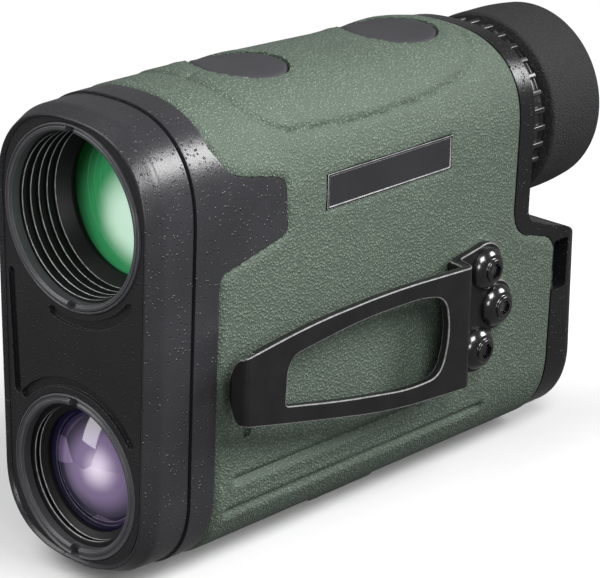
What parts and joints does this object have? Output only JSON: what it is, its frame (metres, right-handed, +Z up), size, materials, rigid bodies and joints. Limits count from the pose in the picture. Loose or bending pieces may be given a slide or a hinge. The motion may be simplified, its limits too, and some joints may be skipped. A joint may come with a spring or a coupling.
{
  "type": "laser rangefinder",
  "caption": "Pocket laser rangefinder with stacked round lenses, rubber armour, two top buttons, a side belt clip and a twist-up eyecup at the back.",
  "frame": {"origin": "centre of the tripod socket's mouth, in the flat underside of the boss the instrument stands on", "axes": "+Z up through the two lens axes' plane, +Y back along the optical axes towards the eyecup, +X towards the belt clip"},
  "size_m": [0.0429, 0.114, 0.08],
  "materials": {
    "armour_rubber": "matt sandy grain",
    "bezel_plastic": "fine spark grain",
    "face_plastic": "fine spark grain",
    "housing_plastic": "fine spark grain",
    "badge_plastic": "satin",
    "barrel_black": "matt black anodised",
    "ring_black": "satin black anodised",
    "objective_glass": "green anti-reflection coating",
    "receiver_glass": "violet anti-reflection coating",
    "clear_glass": "polished",
    "board_green": "solder mask",
    "inner_plastic": "moulded",
    "display_cell": "polished",
    "laser_brass": "machined",
    "insert_brass": "knurled",
    "contact_steel": "tin plated",
    "button_rubber": "matt",
    "tube_black": "satin black",
    "dioptre_plastic": "fine grain",
    "eyecup_rubber": "fine grain",
    "clip_steel": "satin black powder coat",
    "screw_black": "gloss black oxide",
    "screw_steel": "zinc plated",
    "battery_jacket": "printed jacket, blank",
    "cap_plastic": "fine grain",
    "seal_rubber": "smooth"
  },
  "bodies": {
    "rangefinder": {"front_bezel": "bezel_plastic", "front_face_plate": "face_plastic", "front_housing": "bezel_plastic", "main_housing": "housing_plastic", "rear_housing": "housing_plastic", "rubber_armour": "armour_rubber", "side_badge": "badge_plastic", "objective_barrel": "barrel_black", "objective_retaining_ring": "ring_black", "objective_lens": "objective_glass", "receiver_barrel": "barrel_black", "receiver_retaining_ring": "ring_black", "receiver_lens": "receiver_glass", "photodiode_board": "board_green", "prism_holder": "inner_plastic", "roof_prism": "clear_glass", "half_penta_prism": "clear_glass", "laser_diode_module": "laser_brass", "display_module": "display_cell", "main_circuit_board": "board_green", "button_board": "board_green", "dome_switches": "contact_steel", "eyepiece_tube": "tube_black", "belt_clip": "clip_steel", "clip_screws": "screw_black", "clip_screw_inserts": "insert_brass", "tripod_insert": "insert_brass", "battery_tube": "inner_plastic", "battery_spring": "contact_steel", "housing_screws": "screw_steel"},
    "menu_button": {"menu_button": "button_rubber"},
    "measure_button": {"measure_button": "button_rubber"},
    "dioptre_ring": {"dioptre_ring": "dioptre_plastic"},
    "eyepiece_optics": {"ocular_cell": "barrel_black", "field_lens": "clear_glass", "eye_lens": "clear_glass"},
    "eyecup_guide": {"eyecup_guide_ring": "tube_black"},
    "eyecup": {"eyecup": "eyecup_rubber"},
    "battery_cap_seal": {"battery_cap_seal": "seal_rubber"},
    "battery_cap": {"battery_cap": "cap_plastic"},
    "battery": {"battery": "battery_jacket"}
  },
  "joints": [
    {"name": "menu_press", "type": "slide", "parent": "rangefinder", "child": "menu_button", "axis": [0, 0, -1], "range_m": [0, 0.0008], "stiffness_N_per_m": 800, "springref_m": -0.0006},
    {"name": "measure_press", "type": "slide", "parent": "rangefinder", "child": "measure_button", "axis": [0, 0, -1], "range_m": [0, 0.0008], "stiffness_N_per_m": 800, "springref_m": -0.0006},
    {"name": "dioptre_turn", "type": "hinge", "parent": "rangefinder", "child": "dioptre_ring", "pos_m": [0, 0.0387, 0.0594], "axis": [0, 1, 0], "range_deg": [-90, 90]},
    {"name": "dioptre_shift", "type": "slide", "parent": "rangefinder", "child": "eyepiece_optics", "axis": [0, 1, 0], "range_m": [-0.0015, 0.0015]},
    {"name": "eyecup_twist", "type": "hinge", "parent": "rangefinder", "child": "eyecup_guide", "pos_m": [0, 0.047, 0.0594], "axis": [0, 1, 0], "range_deg": [0, 120]},
    {"name": "eyecup_rise", "type": "slide", "parent": "eyecup_guide", "child": "eyecup", "axis": [0, 1, 0], "range_m": [0, 0.006]},
    {"name": "cap_pull", "type": "slide", "parent": "rangefinder", "child": "battery_cap_seal", "axis": [0, 1, 0], "range_m": [0, 0.045]},
    {"name": "cap_turn", "type": "hinge", "parent": "battery_cap_seal", "child": "battery_cap", "pos_m": [0, 0.0497, 0.021], "axis": [0, 1, 0], "range_deg": [0, 90]},
    {"name": "battery_out", "type": "slide", "parent": "rangefinder", "child": "battery", "axis": [0, 1, 0], "range_m": [0, 0.03375]}
  ],
  "couplings": [
    {"joint": "dioptre_shift", "follows": "dioptre_turn", "m_per_rad": 0.0009549},
    {"joint": "eyecup_rise", "follows": "eyecup_twist", "m_per_rad": 0.0028647},
    {"joint": "battery_out", "follows": "cap_pull", "ratio": 0.75}
  ]
}
